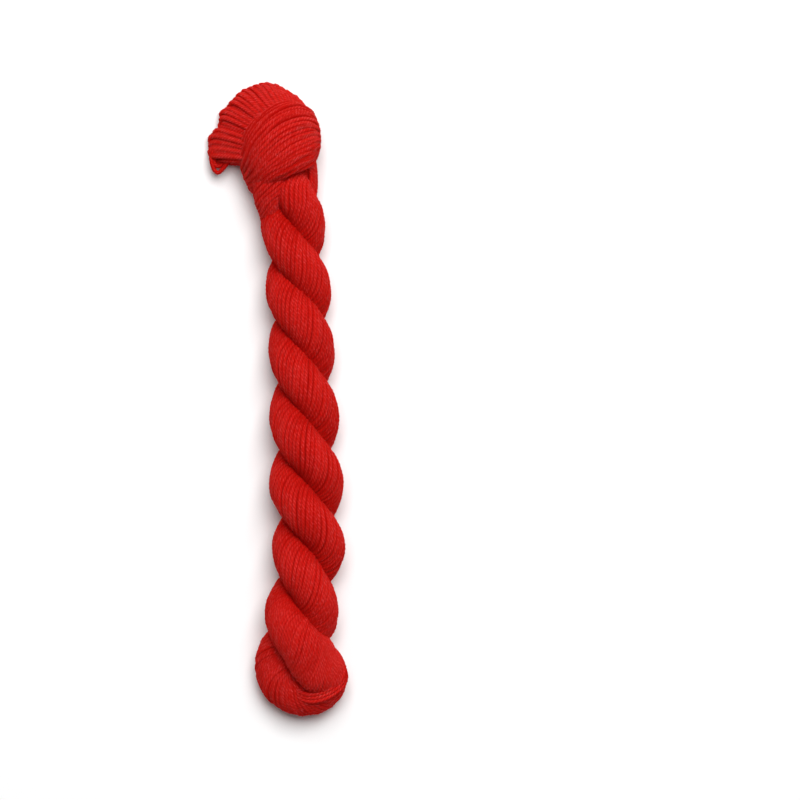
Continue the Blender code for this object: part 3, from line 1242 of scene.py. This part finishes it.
@dataclass
class LoopFan:
    """The first ply's loops above the collar: each goes out over the fan, round its rim and
    back beneath it."""

    count: int = 58
    points: int = 17  # to a loop's bend
    # Degrees round the rim.
    first: float = 34.0
    last: float = 203.0
    jitter: float = 1.2
    slant: float = 9.0  # how far a loop moves on as it turns under
    gap: float = 167.0  # where its loops part a little
    gap_width: float = 2.6
    loose_from: float = 130.0  # beyond this its loops lie less evenly
    # Millimetres, shares and powers.
    slant_rate: float = 2.2  # how suddenly a loop moves on
    gap_back: float = 1.2  # how far back loops lie at the gap
    gap_down: float = 1.8
    tightness: float = 0.4  # how uneven the other loops are, as a share of the loose ones
    uneven_reach: float = 0.4
    uneven_lift: float = 0.6
    back: float = 0.3  # how far back every other loop lies
    down: float = 0.3
    down_loose: float = 0.6  # what is added to that where loops are loose
    bend: tuple[float, float] = (22.0, 158.0)  # degrees of a loop's bend, from above to beneath
    reach_power: float = 0.85  # how full the bend is outwards
    lift_power: float = 0.9  # and upwards
    edge: float = 2.9  # its half thickness at the rim
    hub: float = 8.2  # the same where its loops part
    thinning: float = 1.4  # the power at which it thins from the one to the other
    height: float = 8.3
    droop: float = 5.0
    tail: float = 0.42  # how far a loop runs on towards the knot, as a share of its reach
    inset: float = 1.0
    plump: tuple[float, float] = (1.02, 1.16)
    seed: int = 21

    def half(self, spread: np.ndarray | float) -> np.ndarray | float:
        """The fan's half thickness, by the share of the way out to its rim."""
        return self.hub + (self.edge - self.hub) * spread**self.thinning

    def loop(self, way: float, reach_more: float, lift_more: float) -> np.ndarray:
        """The line of one loop, which bends over the rim as it goes from above to beneath.

        Args:
            way: The direction in which it leaves the hub, in degrees.
            reach_more: What is added to the rim's reach.
            lift_more: What is added to its height.

        Returns:
            Its points.
        """
        angle = np.radians(np.linspace(*self.bend, self.points))
        way = way + self.slant * 0.5 * np.tanh(-self.slant_rate * np.cos(angle))
        reach = read_row(FAN_RIM, way)[:, 0] + reach_more - self.inset
        spread = np.sin(angle) ** self.reach_power
        lift = np.sign(np.cos(angle)) * np.abs(np.cos(angle)) ** self.lift_power
        lift = lift * (self.half(spread) - self.inset)
        height = self.height - self.droop * spread**2 + lift + lift_more * spread
        forward = np.stack([np.cos(np.radians(way)), np.sin(np.radians(way))], axis=-1)
        rim = np.array(FAN_MIDDLE) + reach[:, None] * forward
        inward = unit(np.array(FAN_AIM) - rim)
        level = np.sin(angle) ** 3
        upright = np.sign(np.cos(angle)) * np.sqrt(1 - level**2)
        ways = np.column_stack([level[:, None] * forward, upright])
        path = np.column_stack([rim + (reach * (1 - spread))[:, None] * inward, height, ways])
        ends = [self.tail * reach[i] * np.array([*inward[i], 0, 0, 0, 0]) for i in (0, -1)]
        return smooth_rows(np.vstack([path[0] + ends[0], path, path[-1] + ends[1]]), 6)

    def build(self, spinner: Spinner) -> list[bpy.types.Object]:
        """Makes the fan's loops, of which every other one lies a little lower.

        Args:
            spinner: What makes the yarn.

        Returns:
            The piece.
        """
        rng = np.random.default_rng(self.seed)
        turns = []
        for i in range(self.count):
            way = self.first + (self.last - self.first) * i / (self.count - 1)
            way = way + rng.uniform(-self.jitter, self.jitter)
            below = i % 2
            gap = math.exp(-(((way - self.gap) / self.gap_width) ** 2))
            loose = 1.0 if way > self.loose_from else self.tightness
            reach = loose * rng.uniform(-self.uneven_reach, self.uneven_reach)
            reach = reach - self.back * below - self.gap_back * gap
            lift = loose * rng.uniform(-self.uneven_lift, self.uneven_lift)
            lift = lift - (self.down + self.down_loose * loose) * below - self.gap_down * gap
            turns.append(Turn(self.loop(way, reach, lift), plump=rng.uniform(*self.plump)))
        return [spinner.spin("fan_loops", turns)]


@dataclass
class LooseTurns:
    """Single turns that lie apart from the rest: those that hang out at the fan's left end,
    and those across the foot."""

    hanging: float = 0.76  # how thick the hanging ones are, as a share of the yarn
    across_foot: int = 3

    def facing_up(self, rows: Sequence[Sequence[float]]) -> np.ndarray:
        """The smooth line through a table's places, with the way up at each of its points."""
        return smooth_rows(np.column_stack([rows, np.tile([0.0, 0.0, 1.0], (len(rows), 1))]))

    def build(self, spinner: Spinner) -> list[bpy.types.Object]:
        """Makes one piece of each.

        Args:
            spinner: What makes the yarn.

        Returns:
            The pieces.
        """
        tables = (LOOSE_TURN, TURN_INSIDE, TURN_BENEATH)
        hanging = [Turn(self.facing_up(rows), plump=self.hanging) for rows in tables]
        band = self.facing_up(FOOT_BAND)
        step = np.array([*FOOT_BAND_STEP, 0.0, 0.0, 0.0])
        crossing = [Turn(band + i * step) for i in range(self.across_foot)]
        return [spinner.spin("loose_turns", hanging), spinner.spin("foot_band", crossing)]


@dataclass
class InnerTurns:
    """The mass of turns beneath the outer ones, as plain tubes that nothing shows through."""

    finish: bpy.types.Material
    sides: int = 20
    step: float = 2.0
    depth: float = 0.95  # below a bundle's edge
    fan_depth: float = 1.15
    fan_inset: float = 1.65  # within the fan's rim
    fan_reach_power: float = 0.75  # how full its bend is outwards
    fan_lift_power: float = 0.7  # and upwards
    middle_lowest: float = 1.25  # the least height of a tube's middle
    lowest: float = 0.4  # the same of any point

    def tube(self, bm: bmesh.types.BMesh, bundle: Bundle) -> None:
        """Adds a tube inside a bundle, closed at its ends or on itself.

        Args:
            bm: The piece's bmesh.
            bundle: The bundle.
        """
        matrices = []
        columns = zip(
            settled(bundle.middle, self.middle_lowest),
            bundle.outward,
            bundle.across,
            bundle.flat - self.depth,
            bundle.wide - self.depth,
        )
        for middle, outward, across, flat, wide in columns:
            across_v, outward_v = Vector(across), Vector(outward)
            turned = Matrix((across_v, outward_v, -across_v.cross(outward_v))).transposed()
            sized = Matrix.Diagonal((wide * MM, flat * MM, 1.0))
            matrices.append(Matrix.Translation(Vector(middle) * MM) @ (turned @ sized).to_4x4())
        made = bmesh.ops.create_circle(
            bm, segments=self.sides, radius=1.0, cap_ends=False, matrix=matrices[0]
        )
        edges = list({edge for vert in made["verts"] for edge in vert.link_edges})
        start = list(edges)
        for old, new in zip(matrices, matrices[1:]):
            geometry = bmesh.ops.extrude_edge_only(bm, edges=edges)["geom"]
            ring = [item for item in geometry if isinstance(item, bmesh.types.BMVert)]
            edges = [
                item
                for item in geometry
                if isinstance(item, bmesh.types.BMEdge) and len(item.link_faces) == 1
            ]
            bmesh.ops.transform(bm, matrix=new @ old.inverted(), verts=ring)
        if bundle.closed:
            bmesh.ops.bridge_loops(bm, edges=start + edges)
        else:
            bmesh.ops.holes_fill(bm, edges=start + edges, sides=self.sides)

    def fan(self, bm: bmesh.types.BMesh, shape: LoopFan) -> None:
        """Adds the fan's inside: a ball pressed flat and drawn out to the rim.

        Args:
            bm: The piece's bmesh.
            shape: The fan.
        """
        made = bmesh.ops.create_icosphere(bm, subdivisions=4, radius=1.0)
        for vert in made["verts"]:
            x, y, z = vert.co
            way = math.atan2(y, x)
            reach = read_row(FAN_RIM, np.array([math.degrees(way) % 360.0]))[0, 0]
            spread = min(math.hypot(x, y), 1.0) ** self.fan_reach_power
            lift = math.copysign(abs(z) ** self.fan_lift_power, z)
            lift = lift * (shape.half(spread) - self.fan_depth)
            out = (reach - self.fan_inset) * spread
            place = [
                FAN_MIDDLE[0] + out * math.cos(way),
                FAN_MIDDLE[1] + out * math.sin(way),
                shape.height - shape.droop * spread**2 + lift,
            ]
            vert.co = Vector(settled(np.array(place), self.lowest)) * MM

    def build(self, rope: PliedRope, collar: Collar, fan: LoopFan) -> bpy.types.Object:
        """Makes the piece.

        Args:
            rope: The rope whose plies it fills.
            collar: The collar that it fills.
            fan: The fan that it fills.

        Returns:
            The piece.
        """
        bm = bmesh.new()
        bundles = (
            Bundle.along(rope.rows(), self.step),
            Bundle.along(rows_from_hub(CORE, CORE_HUB), self.step),
            Bundle.along(collar.rows(), self.step, closed=True),
            Bundle.along(rows_from_hub(UNDER_COLLAR, UNDER_COLLAR_HUB), self.step),
            Bundle.along(rows_from_hub(RIGHT_LEG, RIGHT_LEG_HUB), self.step),
            Bundle.along(rows_from_hub(UNDER_LOOSE, UNDER_LOOSE_HUB), self.step / 2),
        )
        for bundle in bundles:
            self.tube(bm, bundle)
        self.fan(bm, fan)
        for vert in bm.verts:
            vert.co.z = max(vert.co.z, self.lowest * MM)
        bmesh.ops.recalc_face_normals(bm, faces=bm.faces)
        return finished(bm, "inner_turns", self.finish)


@dataclass
class Studio:
    """The pale floor, the soft light and the camera, which looks straight down. Sizes here are
    in metres, and the light's power is in watts."""

    floor_size: float = 3.0
    key_place: tuple[float, float, float] = (0.24, 0.80, 1.77)
    key_size: float = 1.4
    key_energy: float = 49.5
    fill: float = 0.145
    aim: tuple[float, float] = (36.75 * MM, -0.15 * MM)
    field: float = 240.0 * MM  # what the camera takes in at the focus height
    focus_height: float = 0.010
    height: float = 2.0
    sensor: float = 36.0  # mm

    def floor(self) -> None:
        """Lays the floor."""
        bm = bmesh.new()
        bmesh.ops.create_grid(bm, x_segments=1, y_segments=1, size=self.floor_size)
        floor = finished(bm, "floor", PaleFloor().make())

    def key_light(self) -> None:
        """Hangs the square soft light, which faces the hank."""
        data = bpy.data.lights.new("key_light", "AREA")
        data.shape = "SQUARE"
        data.size = self.key_size
        data.energy = self.key_energy
        lamp = placed("key_light", data)
        lamp.location = self.key_place
        lamp.rotation_euler = (-Vector(self.key_place)).to_track_quat("-Z", "Y").to_euler()

    def soft_fill(self) -> None:
        """Fills the shadows from all round."""
        world = bpy.data.worlds.new("soft_fill")
        world.use_nodes = True
        background = world.node_tree.nodes["Background"]
        background.inputs["Color"].default_value = (1, 1, 1, 1)
        background.inputs["Strength"].default_value = self.fill
        bpy.context.scene.world = world

    def camera(self) -> None:
        """Sets the camera, whose field is measured at the hank's middle height."""
        data = bpy.data.cameras.new("camera")
        data.sensor_width = self.sensor
        data.lens = data.sensor_width * (self.height - self.focus_height) / self.field
        camera = placed("camera", data)
        camera.location = (*self.aim, self.height)
        bpy.context.scene.camera = camera

    def build(self) -> None:
        """Sets the studio up."""
        self.floor()
        self.key_light()
        self.soft_fill()
        self.camera()
        bpy.context.scene.view_settings.view_transform = "Standard"


def main() -> None:
    """Builds the hank's pieces in order, then the studio."""
    logging.basicConfig(level=logging.INFO, format="%(message)s", stream=sys.stdout)
    spinner = Spinner(SockWool().make())
    rope, collar, fan = PliedRope(), Collar(), LoopFan()
    dress(InnerTurns(InnerWool().make()).build(rope, collar, fan))
    builders = [
        rope,
        collar,
        fan,
        BesideBundle("under_collar_turns", UNDER_COLLAR, UNDER_COLLAR_HUB, 19, twist=-0.036),
        BesideBundle("right_leg_turns", RIGHT_LEG, RIGHT_LEG_HUB, 17),
        LooseTurns(),
    ]
    for builder in builders:
        for piece in builder.build(spinner):
            dress(piece)
    Studio().build()


if __name__ == "__main__":
    main()
